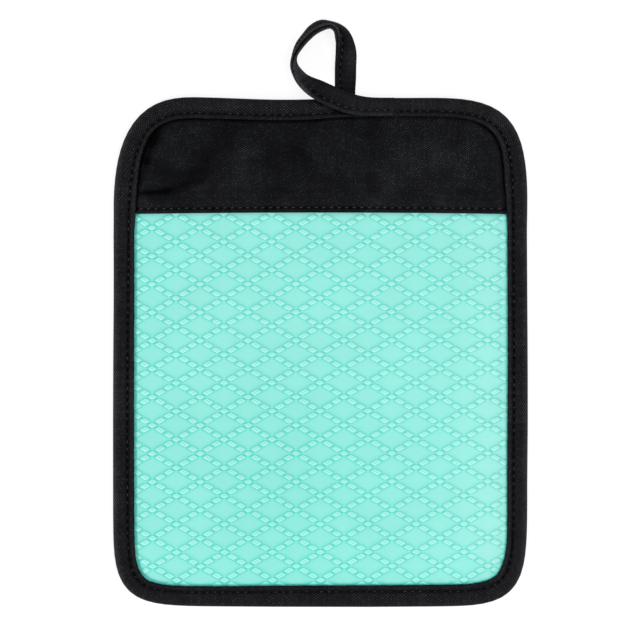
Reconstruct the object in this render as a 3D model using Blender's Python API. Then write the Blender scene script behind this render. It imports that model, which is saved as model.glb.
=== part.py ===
# A pot holder lying on its back: a padded cotton back, a moulded silicone front, a cotton top
# panel hemmed over the silicone, a tape binding folded round the edge, and the end of that tape
# twisted into a hanging loop.
#
# Sizes are in millimetres until a mesh is finished. The origin is in the middle of the flat
# underside, +X runs to the right of the front, +Y towards the loop and +Z out of the front.

import math

import bmesh
import bpy
from mathutils import Vector, geometry, kdtree

MM = 0.001
GAP = 0.3  # between any two pieces

# Outline. Each corner is a quarter of a superellipse: its outermost x and y, its width and
# height, and its power, which is 2 for an ellipse and higher for a squarer corner.
CORNERS = (
    # side x, side y, reach x, reach y, width, height, power
    (1, 1, 89.9, 110.6, 51.2, 57.3, 3.9),
    (-1, 1, 89.9, 110.9, 38.0, 55.6, 2.8),
    (-1, -1, 90.0, 110.1, 54.4, 52.8, 5.1),
    (1, -1, 89.7, 110.2, 54.3, 59.2, 5.2),
)
CORNER_STEPS = 40
EDGE_WAVES = (
    # x, y, half length, how far the edge is drawn in there (negative stands out)
    (-16, 110, 28, 1.15),
    (90, -25, 50, -0.25),
    (-90, 40, 30, 0.2),
)
TURN_WEIGHT = 60.0  # a radian of turn gets as many stations as this many millimetres of side
RING_STATIONS = 96

# Binding tape: its section, and its width on the front, which the sewing left uneven.
TAPE_THICKNESS = 1.1
TAPE_HEIGHT = 6.3  # of the folded tape, through the whole edge of the pot holder
TAPE_NOSE = 2.2  # how far the rounded fold reaches in from the edge
TAPE_CAVITY = 1.3  # from the edge to the panels inside the fold
TAPE_NOSE_STEPS = 6
TAPE_WIDTHS = (
    # x, y, width near that point of the edge
    (-90, 0, 9.1),
    (0, -110, 8.8),
    (90, 0, 8.7),
    (50, 110, 7.7),
    (-50, 110, 8.6),
)
SEAM_FROM_LIP = 2.3
SEAM_DEPTH = 0.5
SEAM_HALF = 0.7

# The stack of panels inside the fold of the tape, from below.
RIM_INSET = TAPE_CAVITY + 0.4
BACK_EDGE_UNDER = TAPE_THICKNESS + GAP
BACK_EDGE_OVER = 3.2
SILICONE_THICKNESS = 1.1
COTTON_THICKNESS = 1.1

# The padding lifts the front from the edge up to a wide flat crown.
CROWN_RISE = 3.4
CROWN_START = 9.3
CROWN_RUN = 28.0
CROWN_POWER = 2.2
UNDERSIDE_STEP = (9.6, 11.6)  # the back drops from inside the tape to the surface between these

# Top panel: its hem bows up a little in the middle.
HEM_Y = 60.8
HEM_BOW = 0.6
HEM_FOLD = 8.0
HEM_THICKER = 0.6
HEM_SEAM = 1.8
HEM_ROUND = 0.35  # the hem's edge rounds off over this
HEM_ROWS = (0.7, 1.3, 1.8, 2.3, 3.2, 8.0, 10.0)  # lines of the hem and its seam, from its edge
HEM_STEPS = 20
HEM_REACH = 84.0
SILICONE_LAP = 12.0  # how far the silicone runs on above the hem
LAP_DIP = 1.05  # the padding gives under the two layers there
LAP_BEGIN = (-6.0, -0.5)  # it goes down between these, counted from the hem upwards
LAP_END = (SILICONE_LAP + 0.6, SILICONE_LAP + 6.0)  # and comes up again between these
LAP_MIDDLES = (-3.2, 6.0, 15.3)
LAP_COLUMNS = 14
LAP_REACH = 77.5
PUFF = 0.9  # the slack cotton stands off the padding
PUFF_INSETS = (9.5, 20.0)
WRINKLES = (
    # x from, y from, x to, y to, half width, depth (negative is a ridge)
    (-37, 97, -50, 83, 6.0, 0.75),
    (-50, 83, -65, 69, 5.5, 0.60),
    (-79, 69, -64, 70, 3.5, 0.50),
    (-4, 100, -9, 87, 5.5, 0.60),
    (-9, 87, -19, 71, 6.0, 0.50),
    (12, 101, 21, 95, 5.0, 0.60),
    (-77, 96, -73, 82, 4.5, 0.60),
    (-30, 90, -38, 76, 5.0, -0.45),
    (66, 72, 74, 92, 5.0, 0.40),
    (34, 78, 52, 84, 7.0, -0.35),
)
# Spacing of the points that the soft surfaces are drawn through.
COTTON_GRID = 7.5
PADDING_GRID = 13.0
SHOULDER_INSET = 13.0  # a loop of points that follows the rise of the padding
GRID_INSET = 17.0  # the grids start this far in

# Raised lattice of the silicone: ridges along both diagonals of a diamond.
DIAMOND_WIDTH = 20.76
DIAMOND_HEIGHT = 12.29
DIAMOND_AT = (-10.34, 5.04)
RIDGE_HEIGHT = 0.6
RIDGE_TOP_HALF = 0.06  # shares of a diamond's side
RIDGE_FOOT_HALF = 0.10
RIDGE_FADE = 1.1  # the ridges die out over this distance from the tape and from the hem
RIDGE_BELOW_HEM = 0.4
DIAMOND_REACH = 12

# Hanging loop: the route of the tape's middle line.
LOOP_STEPS = 3  # stations to each row
LOOP_ROUTE = (
    # x, y, lift off the surface, roll about the route, width, thickness
    (32.6, 106.6, 6.7, 0, 7.6, 1.0),
    (21.7, 106.5, 6.7, 0, 8.0, 1.5),
    (13.5, 107.7, 6.7, 0, 8.7, 2.0),
    (6.5, 110.3, 6.7, 2, 8.9, 2.1),
    (0.4, 113.1, 6.2, 12, 8.9, 2.2),
    (-4.9, 116.3, 3.2, 42, 8.9, 2.3),
    (-8.4, 119.5, 1.2, 62, 8.9, 2.4),
    (-10.7, 123.3, 0.4, 76, 8.9, 2.4),
    (-11.3, 126.5, 0.1, 87, 8.9, 2.4),
    (-10.8, 129.4, 0.1, 92, 8.9, 2.5),
    (-9.1, 133.2, 0.1, 98, 8.9, 2.6),
    (-6.1, 137.1, 0.1, 102, 8.9, 2.6),
    (-2.9, 140.2, 0.1, 106, 8.9, 2.5),
    (1.2, 141.9, 0.1, 108, 8.9, 2.4),
    (5.8, 141.3, 0.1, 113, 8.9, 2.4),
    (9.0, 138.5, 0.1, 126, 8.9, 2.4),
    (10.9, 134.6, 0.1, 143, 8.9, 2.3),
    (11.5, 129.9, 0.1, 161, 9.0, 2.2),
    (11.3, 124.4, 0.1, 175, 9.0, 2.1),
    (11.2, 119.0, 0.2, 180, 9.0, 2.0),
    (10.9, 114.2, 1.4, 180, 9.0, 2.0),
    (10.8, 111.2, 2.1, 180, 9.0, 2.0),
)

COTTON = ((0.012, 0.012, 0.014, 1.0), 0.95)
SILICONE = ((0.28, 0.83, 0.74, 1.0), 0.5)


def smooth(value, low, high):
    """0 below low, 1 above high and a soft step between them."""
    share = min(max((value - low) / (high - low), 0.0), 1.0)
    return share * share * (3 - 2 * share)


# The outline and what is measured from it


def corner_point(corner, turn):
    """A point of the outline's corner, turn degrees round from its own x side."""
    side_x, side_y, reach_x, reach_y, width, height, power = corner
    cosine, sine = math.cos(math.radians(turn)), math.sin(math.radians(turn))
    radius = ((cosine / width) ** power + (sine / height) ** power) ** (-1 / power)
    return Vector(
        (side_x * (reach_x - width + radius * cosine), side_y * (reach_y - height + radius * sine))
    )


def wave_edge(point):
    """The point of the edge moved towards or off the middle by the waves near it."""
    drawn_in = 0.0
    for x, y, half_length, amount in EDGE_WAVES:
        drawn_in += amount * math.exp(-(((point.x - x) ** 2 + (point.y - y) ** 2) / half_length**2))
    return point - point.normalized() * drawn_in


def dense_outline():
    """The outline anticlockwise from the right, a point about every millimetre."""
    points = []
    for index, corner in enumerate(CORNERS):
        turns = [90 * step / CORNER_STEPS for step in range(CORNER_STEPS + 1)]
        if index % 2:
            turns.reverse()
        points += [corner_point(corner, turn) for turn in turns]
    dense = []
    for start, end in zip(points, points[1:] + points[:1]):
        steps = max(1, round((end - start).length))
        dense += [start.lerp(end, step / steps) for step in range(steps)]
    return [wave_edge(point) for point in dense]


def outline_stations(count):
    """Points of the outline with their inward normals, closer together in the corners."""
    dense = dense_outline()
    total = len(dense)
    tangents = [(dense[(i + 2) % total] - dense[i - 2]).normalized() for i in range(total)]
    reached = [0.0]
    for i in range(total):
        ahead = (i + 1) % total
        turn = tangents[i].angle(tangents[ahead])
        reached.append(reached[-1] + (dense[ahead] - dense[i]).length + TURN_WEIGHT * turn)
    places = [reached[-1] * step / count for step in range(count)]
    levels = [hem_at(CORNERS[0][2]) + row for row in LAP_BEGIN + LAP_END]
    beside = [i for i in range(total) if any(0 <= abs(dense[i].y - y) < 0.5 for y in levels)]
    places = [p for p in places if all(abs(p - reached[i]) > 2 for i in beside)]
    stations = []
    for place in sorted(places + [reached[i] for i in beside]):
        i = next(j for j in range(total) if reached[j + 1] > place)
        share = (place - reached[i]) / (reached[i + 1] - reached[i])
        point = dense[i].lerp(dense[(i + 1) % total], share)
        tangent = tangents[i].lerp(tangents[(i + 1) % total], share).normalized()
        stations.append((point, Vector((-tangent.y, tangent.x))))
    return stations


def hem_at(x):
    return HEM_Y - HEM_BOW * (x / 80) ** 2


STATIONS = outline_stations(RING_STATIONS)


def edge_tree():
    dense = dense_outline()
    tree = kdtree.KDTree(len(dense))
    for index, point in enumerate(dense):
        tree.insert(point.to_3d(), index)
    tree.balance()
    return tree


EDGE_TREE = edge_tree()


def inset_at(x, y):
    """How far in from the outline a point is."""
    return EDGE_TREE.find((x, y, 0))[2]


def inset_loop(inset):
    """The outline moved inwards, good up to its sharpest corner."""
    return [point + normal * inset for point, normal in STATIONS]


def cut_loop(loop, cut_at, keep_above):
    """The part of a convex loop above or below the line y = cut_at(x), closed along that line."""
    kept = [(p.y > cut_at(p.x)) == keep_above for p in loop]
    first = next(i for i in range(len(loop)) if kept[i] and not kept[i - 1])
    run = [loop[(first + i) % len(loop)] for i in range(sum(kept))]
    before, after = loop[first - 1], loop[(first + len(run)) % len(loop)]

    def crossing(inner, outer):
        low, high = inner.y - cut_at(inner.x), outer.y - cut_at(outer.x)
        return inner.lerp(outer, low / (low - high)).x

    start_x, end_x = crossing(run[-1], after), crossing(run[0], before)
    reach = math.copysign(CORNERS[0][2] - CROWN_START, start_x)
    steps = [reach * (1 - 2 * i / HEM_STEPS) for i in range(HEM_STEPS + 1)]
    steps = [x for x in steps if abs(x) < abs(start_x) - 0.5]
    return run + [Vector((x, cut_at(x))) for x in [start_x, *steps, end_x]]


def grid_points(spacing, inset, inside):
    """Points of a staggered grid that are deeper in than inset and for which inside is true."""
    points = []
    row_height = spacing * math.sqrt(0.75)
    reach_x, reach_y = CORNERS[0][2:4]
    columns, rows = int(reach_x / spacing), int(reach_y / row_height)
    for row in range(-rows, rows + 1):
        for column in range(-columns, columns + 1):
            x, y = (column + 0.5 * (row % 2)) * spacing, row * row_height
            if inside(x, y) and abs(x) < reach_x and inset_at(x, y) > inset:
                points.append(Vector((x, y)))
    return points


# Heights of the layers


def crown_at(x, y):
    share = min(max((inset_at(x, y) - CROWN_START) / CROWN_RUN, 0.0), 1.0)
    return CROWN_RISE * (1 - (1 - share) ** CROWN_POWER)


def lap_at(x, y):
    """1 where the silicone lies under the top panel, fading out above and below."""
    above = y - hem_at(x)
    return smooth(above, *LAP_BEGIN) * (1 - smooth(above, *LAP_END))


def back_over(x, y):
    return BACK_EDGE_OVER + crown_at(x, y) - LAP_DIP * lap_at(x, y)


def back_under(x, y):
    return BACK_EDGE_UNDER * (1 - smooth(inset_at(x, y), *UNDERSIDE_STEP))


def silicone_under(x, y):
    return back_over(x, y) + GAP


def silicone_floor(x, y):
    return silicone_under(x, y) + SILICONE_THICKNESS


def lattice_place(x, y):
    """Place on the two diagonals: whole numbers lie on the ridges."""
    across, along = (x - DIAMOND_AT[0]) / DIAMOND_WIDTH, (y - DIAMOND_AT[1]) / DIAMOND_HEIGHT
    return across + along, across - along


def lattice_point(first, second):
    return Vector(
        (
            DIAMOND_AT[0] + DIAMOND_WIDTH * (first + second) / 2,
            DIAMOND_AT[1] + DIAMOND_HEIGHT * (first - second) / 2,
        )
    )


def silicone_over(x, y):
    nearest = min(abs(place - round(place)) for place in lattice_place(x, y))
    slope = (RIDGE_FOOT_HALF - nearest) / (RIDGE_FOOT_HALF - RIDGE_TOP_HALF)
    ridge = RIDGE_HEIGHT * min(max(slope, 0.0), 1.0)
    below_hem = hem_at(x) - y
    from_tape = smooth(inset_at(x, y), CROWN_START, CROWN_START + RIDGE_FADE)
    from_hem = smooth(below_hem, RIDGE_BELOW_HEM, RIDGE_BELOW_HEM + RIDGE_FADE)
    return silicone_floor(x, y) + ridge * from_tape * from_hem


def wrinkle_at(x, y):
    """How far all the wrinkles together take the top panel down."""
    place = Vector((x, y))
    total = 0.0
    for x_from, y_from, x_to, y_to, half_width, depth in WRINKLES:
        start, end = Vector((x_from, y_from)), Vector((x_to, y_to))
        nearest, share = geometry.intersect_point_line(place, start, end)
        if share < 0 or share > 1:
            nearest = start if share < 0 else end
        total += depth * math.exp(-(((place - nearest).length / half_width) ** 2))
    return total


def top_panel_under(x, y):
    above = y - hem_at(x)
    on_silicone = (SILICONE_THICKNESS + GAP) * (1 - smooth(above, *LAP_END))
    slack = smooth(inset_at(x, y), *PUFF_INSETS) * smooth(above, HEM_SEAM, 2.5 * HEM_SEAM)
    return back_over(x, y) + GAP + on_silicone + max(0.0, PUFF - wrinkle_at(x, y)) * slack


def top_panel_over(x, y):
    above = y - hem_at(x)
    hem = HEM_THICKER * smooth(above, -0.3, 0.7) * (1 - smooth(above, HEM_FOLD, HEM_FOLD + 2))
    seam = SEAM_DEPTH * math.exp(-(((above - HEM_SEAM) / (0.6 * SEAM_HALF)) ** 2))
    clear_of_tape = smooth(inset_at(x, y), CROWN_START, CROWN_START + RIDGE_FADE)
    return top_panel_under(x, y) + COTTON_THICKNESS + (hem - seam) * clear_of_tape


# Meshes


def finish(name, bm, finish_of):
    """The mesh as an object of the pot holder, in metres, with its own material."""
    bmesh.ops.scale(bm, vec=(MM, MM, MM), verts=bm.verts)
    bmesh.ops.recalc_face_normals(bm, faces=bm.faces)
    mesh = bpy.data.meshes.new(name)
    bm.to_mesh(mesh)
    bm.free()
    mesh.shade_smooth()
    mesh.set_sharp_from_angle(angle=math.radians(40))
    colour, roughness = finish_of
    material = bpy.data.materials.new(name)
    material.use_nodes = True
    shader = material.node_tree.nodes["Principled BSDF"]
    shader.inputs["Base Color"].default_value = colour
    shader.inputs["Roughness"].default_value = roughness
    shader.inputs["Metallic"].default_value = 0.0
    mesh.materials.append(material)
    obj = bpy.data.objects.new(name, mesh)
    bpy.data.collections["Pot holder"].objects.link(obj)
    return obj


def cover(bm, rim, lines, points, height):
    """Triangles over all that the rim encloses, creased along the lines, at height(x, y).
    Returns the rim's vertices in order."""
    places = list(rim)
    edges = []
    for start, end in lines:
        edges.append((len(places), len(places) + 1))
        places += [start, end]
    places += points
    flat, _, faces, sources, _, _ = geometry.delaunay_2d_cdt(
        places, edges, [list(range(len(rim)))], 1, 1e-4
    )
    verts = [bm.verts.new((p.x, p.y, height(p.x, p.y))) for p in flat]
    for face in faces:
        bm.faces.new([verts[i] for i in face])
    at_rim = {source: vert for vert, found in zip(verts, sources) for source in found}
    return [at_rim[i] for i in range(len(rim))]


def layer(name, rim, under, over, finish_of, lines=(), over_points=(), under_points=()):
    """A closed layer of cloth, padding or silicone between two surfaces."""
    bm = bmesh.new()
    top = cover(bm, rim, lines, list(over_points), over)
    bottom = cover(bm, rim, (), list(under_points), under)
    for i in range(len(rim)):
        j = (i + 1) % len(rim)
        bm.faces.new((bottom[i], bottom[j], top[j], top[i]))
    return finish(name, bm, finish_of)


def loft(name, sections, closed, finish_of):
    """A skin through sections of as many points each, a ring if closed and else with flat ends."""
    bm = bmesh.new()
    rings = [[bm.verts.new(point) for point in section] for section in sections]
    for first, second in zip(rings, rings[1:] + rings[:1] if closed else rings[1:]):
        for i in range(len(first)):
            j = (i + 1) % len(first)
            bm.faces.new((first[i], first[j], second[j], second[i]))
    if not closed:
        bm.faces.new(rings[0])
        bm.faces.new(rings[-1])
    return finish(name, bm, finish_of)


def loop_lines(loop):
    return list(zip(loop, loop[1:] + loop[:1]))


# The pieces


def tape_width(place):
    """The binding's width at a point of the edge, the nearer rows of the table counting most."""
    weights = [1 / ((place.x - x) ** 2 + (place.y - y) ** 2 + 1) for x, y, _ in TAPE_WIDTHS]
    return sum(w * row[2] for w, row in zip(weights, TAPE_WIDTHS)) / sum(weights)


def tape_section(width):
    """The folded tape as inset and height: fold, front with its seam and lip, inside, back."""
    half = TAPE_HEIGHT / 2
    turns = [math.radians(-90 + 180 * i / TAPE_NOSE_STEPS) for i in range(TAPE_NOSE_STEPS + 1)]
    fold = [(TAPE_NOSE * (1 - math.cos(turn)), half + half * math.sin(turn)) for turn in turns]
    seam = width - SEAM_FROM_LIP
    front = [
        (seam - 2 * SEAM_HALF, TAPE_HEIGHT),
        (seam - SEAM_HALF, TAPE_HEIGHT - 0.3 * SEAM_DEPTH),
        (seam, TAPE_HEIGHT - SEAM_DEPTH),
        (seam + SEAM_HALF, TAPE_HEIGHT - 0.3 * SEAM_DEPTH),
        (width - 0.9, TAPE_HEIGHT),
        (width - 0.2, TAPE_HEIGHT - 0.3),
        (width, TAPE_HEIGHT - 0.6 * TAPE_THICKNESS),
        (width - 0.3, TAPE_HEIGHT - TAPE_THICKNESS),
    ]
    inside = [
        (TAPE_CAVITY, TAPE_HEIGHT - TAPE_THICKNESS),
        (TAPE_THICKNESS, half),
        (TAPE_CAVITY, TAPE_THICKNESS),
    ]
    back = [(width - 0.3, TAPE_THICKNESS), (width, 0.6 * TAPE_THICKNESS), (width - 0.3, 0)]
    return fold + front + inside + back


def make_binding():
    sections = []
    for place, inward in STATIONS:
        section = []
        for inset, height in tape_section(tape_width(place)):
            point = place + inward * inset
            section.append((point.x, point.y, height))
        sections.append(section)
    return loft("binding", sections, True, COTTON)


def padding_points():
    """Points that the surface of the padding and what lies on it are drawn through."""
    columns = [LAP_REACH * (2 * i / LAP_COLUMNS - 1) for i in range(LAP_COLUMNS + 1)]
    rows = LAP_BEGIN + LAP_MIDDLES + LAP_END
    lap = [Vector((x, hem_at(x) + row)) for row in rows for x in columns]

    def off_lap(x, y, clear=3.0):
        return not LAP_BEGIN[0] - clear < y - hem_at(x) < LAP_END[1] + clear

    edge = [p for p in inset_loop(SHOULDER_INSET) if off_lap(p.x, p.y, 0.0)]
    return lap + edge + grid_points(PADDING_GRID, GRID_INSET, off_lap)


def make_back_panel():
    rim = inset_loop(RIM_INSET)
    lines = loop_lines(inset_loop(CROWN_START))
    shoulder = inset_loop(UNDERSIDE_STEP[0]) + inset_loop(UNDERSIDE_STEP[1])
    over = padding_points()
    return layer("back_panel", rim, back_under, back_over, COTTON, lines, over, shoulder)


def clip_to(loop, start, end):
    """The part of a segment inside a convex anticlockwise loop, or None."""
    low, high = 0.0, 1.0
    along = end - start
    for a, b in loop_lines(loop):
        outward = Vector((b.y - a.y, a.x - b.x))
        rate, beyond = outward.dot(along), outward.dot(start - a)
        if abs(rate) < 1e-9:
            if beyond > 0:
                return None
        elif rate > 0:
            high = min(high, -beyond / rate)
        else:
            low = max(low, -beyond / rate)
    return (start + along * low, start + along * high) if high - low > 0.02 else None


def diamond_lines():
    """Foot and top edges of the ridges round every diamond, and the mitres between them."""
    lines = []
    for first in range(-DIAMOND_REACH, DIAMOND_REACH + 1):
        for second in range(-DIAMOND_REACH, DIAMOND_REACH + 1):
            rings = []
            for half in (RIDGE_FOOT_HALF, RIDGE_TOP_HALF):
                near, far = half, 1 - half
                places = ((near, near), (far, near), (far, far), (near, far))
                rings.append([lattice_point(first + a, second + b) for a, b in places])
            lines += loop_lines(rings[0]) + loop_lines(rings[1]) + list(zip(*rings))
    return lines


def make_silicone_panel():
    rim = cut_loop(inset_loop(RIM_INSET), lambda x: hem_at(x) + SILICONE_LAP, False)
    clear_of_tape = cut_loop(inset_loop(CROWN_START), lambda x: hem_at(x) + SILICONE_LAP - 1, False)
    feet, tops = [
        cut_loop(inset_loop(CROWN_START + fade), lambda x: hem_at(x) - RIDGE_BELOW_HEM - fade, False)
        for fade in (0, RIDGE_FADE)
    ]
    clipped = [clip_to(feet, start, end) for start, end in diamond_lines()]
    lines = loop_lines(clear_of_tape) + loop_lines(feet) + loop_lines(tops)
    lines += [line for line in clipped if line]
    under = [p for p in padding_points() if p.y < hem_at(p.x) + SILICONE_LAP - 1]
    over = [p for p in under if p.y > hem_at(p.x) + 1]
    under += clear_of_tape
    return layer("silicone_panel", rim, silicone_under, silicone_over, SILICONE, lines, over, under)


def make_top_panel():
    rim = cut_loop(inset_loop(RIM_INSET), hem_at, True)
    clear_of_tape = cut_loop(inset_loop(CROWN_START), lambda x: hem_at(x) + HEM_ROUND, True)
    def above_hem(x, y, distance=HEM_FOLD + 4):
        return y > hem_at(x) + distance

    slack = grid_points(COTTON_GRID, GRID_INSET - 1, above_hem)
    slack += [p for p in inset_loop(SHOULDER_INSET) if above_hem(p.x, p.y)]
    lines = loop_lines(clear_of_tape)
    for row in HEM_ROWS:
        columns = [HEM_REACH * (2 * i / HEM_STEPS - 1) for i in range(HEM_STEPS + 1)]
        places = [Vector((x, hem_at(x) + row)) for x in columns]
        clipped = [clip_to(clear_of_tape, start, end) for start, end in zip(places, places[1:])]
        lines += [line for line in clipped if line]
    under = slack + [start for start, _ in lines if above_hem(*start, HEM_SEAM + 1)]
    return layer("top_panel", rim, top_panel_under, top_panel_over, COTTON, lines, slack, under)


def loop_section(width, thickness):
    """The tape folded and sewn shut, as distances towards its lip and off its front."""
    half, thick = width / 2, thickness / 2
    seam = half - SEAM_FROM_LIP
    front = [
        (-half + 0.3, 0.55 * thick),
        (-half + 1.0, thick),
        (seam - SEAM_HALF, thick),
        (seam, thick - 0.35 * SEAM_DEPTH),
        (seam + SEAM_HALF, thick),
        (half - 0.4, thick),
        (half, 0.7 * thick),
    ]
    back = [(along, -off) for along, off in reversed(front)]
    return [(-half, 0.0)] + front + [(half - 0.9, 0.0)] + back


def blend_rows(rows, index, share):
    """A smooth curve through the rows of a table, read between two of them."""
    last = len(rows) - 1
    before, start = rows[max(index - 1, 0)], rows[index]
    end, after = rows[min(index + 1, last)], rows[min(index + 2, last)]
    blended = []
    for a, b, c, d in zip(before, start, end, after):
        bend = (2 * a - 5 * b + 4 * c - d) * share + (3 * b - a - 3 * c + d) * share**2
        blended.append(b + 0.5 * share * (c - a + bend))
    return blended


def make_hanging_loop():
    stations = []
    for index in range(len(LOOP_ROUTE) - 1):
        for step in range(LOOP_STEPS):
            stations.append(blend_rows(LOOP_ROUTE, index, step / LOOP_STEPS))
    stations.append(list(LOOP_ROUTE[-1]))
    middles = []
    for x, y, lift, roll, width, thickness in stations:
        turn = math.radians(roll)
        half_height = width / 2 * abs(math.sin(turn)) + thickness / 2 * abs(math.cos(turn))
        middles.append(Vector((x, y, lift + half_height)))
    sections = []
    for i, (_, _, _, roll, width, thickness) in enumerate(stations):
        forward = (middles[min(i + 1, len(middles) - 1)] - middles[max(i - 1, 0)]).normalized()
        left = Vector((0, 0, 1)).cross(forward).normalized()
        up = forward.cross(left)
        turn = math.radians(roll)
        to_lip = left * math.cos(turn) + up * math.sin(turn)
        to_front = up * math.cos(turn) - left * math.sin(turn)
        section = loop_section(width, thickness)
        sections.append([middles[i] + to_lip * a + to_front * b for a, b in section])
    return loft("hanging_loop", sections, False, COTTON)


def main():
    for obj in list(bpy.data.objects):
        bpy.data.objects.remove(obj)
    parts = bpy.data.collections.new("Pot holder")
    bpy.context.scene.collection.children.link(parts)
    make_back_panel()
    make_silicone_panel()
    make_top_panel()
    make_binding()
    make_hanging_loop()


main()
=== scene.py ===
# A pot holder seen from straight above: mint silicone with a raised diamond lattice, black cotton
# across the top, black tape bound round the edge, and the end of the tape twisted into a loop.
# Sizes in the dictionaries are millimetres; a mesh is made in metres.
import math

import bpy
import numpy as np
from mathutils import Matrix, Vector, geometry, kdtree, noise


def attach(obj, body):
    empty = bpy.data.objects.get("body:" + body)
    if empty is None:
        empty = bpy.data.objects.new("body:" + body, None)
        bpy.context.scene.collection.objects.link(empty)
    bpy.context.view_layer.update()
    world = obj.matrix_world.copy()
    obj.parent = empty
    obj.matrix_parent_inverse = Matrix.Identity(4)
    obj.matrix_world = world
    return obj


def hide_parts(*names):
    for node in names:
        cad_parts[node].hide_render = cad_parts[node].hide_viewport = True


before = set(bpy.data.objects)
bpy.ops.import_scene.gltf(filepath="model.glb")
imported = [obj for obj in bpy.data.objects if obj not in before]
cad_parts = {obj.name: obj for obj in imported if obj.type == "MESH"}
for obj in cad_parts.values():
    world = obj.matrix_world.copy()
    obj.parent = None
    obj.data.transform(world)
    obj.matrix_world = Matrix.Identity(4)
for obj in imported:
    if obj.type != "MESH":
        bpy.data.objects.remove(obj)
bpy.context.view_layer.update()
print("frame loaded:", ", ".join(sorted(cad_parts)))

mm = 0.001


# Small tools

def softStep(value, low, high):  # 0 below low, 1 above high
    share = np.clip((value - low) / (high - low), 0, 1)
    return share * share * (3 - 2 * share)


def bump(value, middle, half):  # a soft ridge
    return np.exp(-(((value - middle) / half) ** 2))


def wander(along, height, wavelength, seed):  # an uneven wave about this high each way
    turns = 2 * np.pi * along / wavelength
    waves = ((1, 1, 1), (0.7, 1.618, 2.3), (0.5, 0.437, 5.1))  # share, rate, shift
    return height / 2.2 * sum(share * np.sin(rate * turns + shift * seed) for share, rate, shift in waves)


def ridges(value, foot, *rows):  # rows of height, middle past the foot, half width
    return sum(height * bump(value, foot + past, half) for height, past, half in rows)


def unevenness(x, y, *rows):  # soft lumps over a surface: size, scale and seed of each row
    total = 0
    for size, scale, seed in rows:
        total = total + size * np.array([noise.noise((a / scale, b / scale, seed)) for a, b in zip(x, y)])
    return total


def around(points):  # a line closed on itself, and the length up to each of its points
    ring = np.vstack((points, points[:1]))
    return ring, np.hstack(([0], np.cumsum(np.linalg.norm(np.diff(ring, axis=0), axis=1))))


def evenly(points, pitch):  # a closed line read again at an even pitch
    ring, reached = around(points)
    count = round(reached[-1] / pitch)
    wanted = np.arange(count) * reached[-1] / count
    return np.column_stack([np.interp(wanted, reached, line) for line in ring.T])


def makePiece(name, points, faces, material, uvs=None):
    mesh = bpy.data.meshes.new(name)
    mesh.from_pydata((np.asarray(points) * mm).tolist(), [], faces)
    if uvs is not None:
        layer = mesh.uv_layers.new(name="cloth")
        layer.data.foreach_set("uv", np.asarray(uvs, np.float32).ravel() * mm)
    mesh.validate()
    mesh.shade_smooth()
    mesh.materials.append(material)
    piece = bpy.data.objects.new(name, mesh)
    bpy.context.scene.collection.objects.link(piece)
    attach(piece, "root")
    print("made", name, len(mesh.polygons), "faces")
    return piece


def keepTone(piece, name, values):  # a number at each point, which the material reads
    attribute = piece.data.attributes.new(name, "FLOAT", "POINT")
    attribute.data.foreach_set("value", np.asarray(values, np.float32).ravel())


# The outline of the pad and the heights of its layers

outline = {
    "corners": (  # side x, side y, reach x, reach y, width, height, power
        (1, 1, 89.9, 110.6, 51.2, 57.3, 3.9), (-1, 1, 89.9, 110.9, 38, 55.6, 2.8),
        (-1, -1, 90, 110.1, 54.4, 52.8, 5.1), (1, -1, 89.7, 110.2, 54.3, 59.2, 5.2),
    ),
    "waves": (  # x, y, half length, drawn in
        (-16, 110, 28, 1.15), (90, -25, 50, -0.25), (-90, 40, 30, 0.2),
    ),
    "turnSteps": 200, "pitch": 0.25,
    "aheadSpan": 6,  # points on each side that give a point's direction
}


def outlinePoints():
    points = []
    turns = np.radians(np.linspace(0, 90, outline["turnSteps"]))
    for index, (sideX, sideY, reachX, reachY, width, height, power) in enumerate(outline["corners"]):
        cosine, sine = [way(turns[:: -1 if index % 2 else 1]).clip(1e-9) for way in (np.cos, np.sin)]
        radius = ((cosine / width) ** power + (sine / height) ** power) ** (-1 / power)
        x, y = reachX - width + radius * cosine, reachY - height + radius * sine
        points.append(np.column_stack((sideX * x, sideY * y)))
    points = evenly(np.concatenate(points), 2 * outline["pitch"])
    drawnIn = np.zeros(len(points))
    for x, y, halfLength, amount in outline["waves"]:
        away = (points[:, 0] - x) ** 2 + (points[:, 1] - y) ** 2
        drawnIn += amount * np.exp(-away / halfLength**2)
    points -= points / np.linalg.norm(points, axis=1)[:, None] * drawnIn[:, None]
    return evenly(points, outline["pitch"])


def change(values, span):  # from so many points before to as many after, round a ring
    return np.roll(values, -span, 0) - np.roll(values, span, 0)


edge = outlinePoints()  # anticlockwise from the right
edgeLength = len(edge) * outline["pitch"]
edgeAhead = change(edge, outline["aheadSpan"])
edgeAhead /= np.linalg.norm(edgeAhead, axis=1)[:, None]
edgeInward = np.column_stack((-edgeAhead[:, 1], edgeAhead[:, 0]))
edgeTree = kdtree.KDTree(len(edge))
for index, (x, y) in enumerate(edge):
    edgeTree.insert((x, y, 0), index)
edgeTree.balance()


def nearestEdge(x, y):  # number of the nearest point of the outline, and how far off it is
    found = [edgeTree.find((a, b, 0)) for a, b in zip(x, y)]
    return np.array([index for _, index, _ in found]), np.array([distance for _, _, distance in found])


def insetAt(x, y):  # how far inside the outline, below 0 outside it
    nearest, distance = nearestEdge(x, y)
    away = ((np.column_stack((x, y)) - edge[nearest]) * edgeInward[nearest]).sum(axis=1)
    return distance * np.sign(away)


layers = {
    "gap": 0.3, "backEdge": 3.2, "silicone": 1.1, "cotton": 1.1, "crownRise": 3.4, "crownStart": 8.2,
    "crownRun": 29.1, "crownPower": 2.2, "hemY": 60.8,
    "hemBow": 0.6,  # the hem lies this much lower at hemBowAt from the middle
    "hemBowAt": 80,
    "lap": 12,  # the silicone runs on this far above the hem
    "lapDip": 1.05, "lapBegin": (-2, 3), "lapEnd": (12.6, 18),
}


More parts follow.
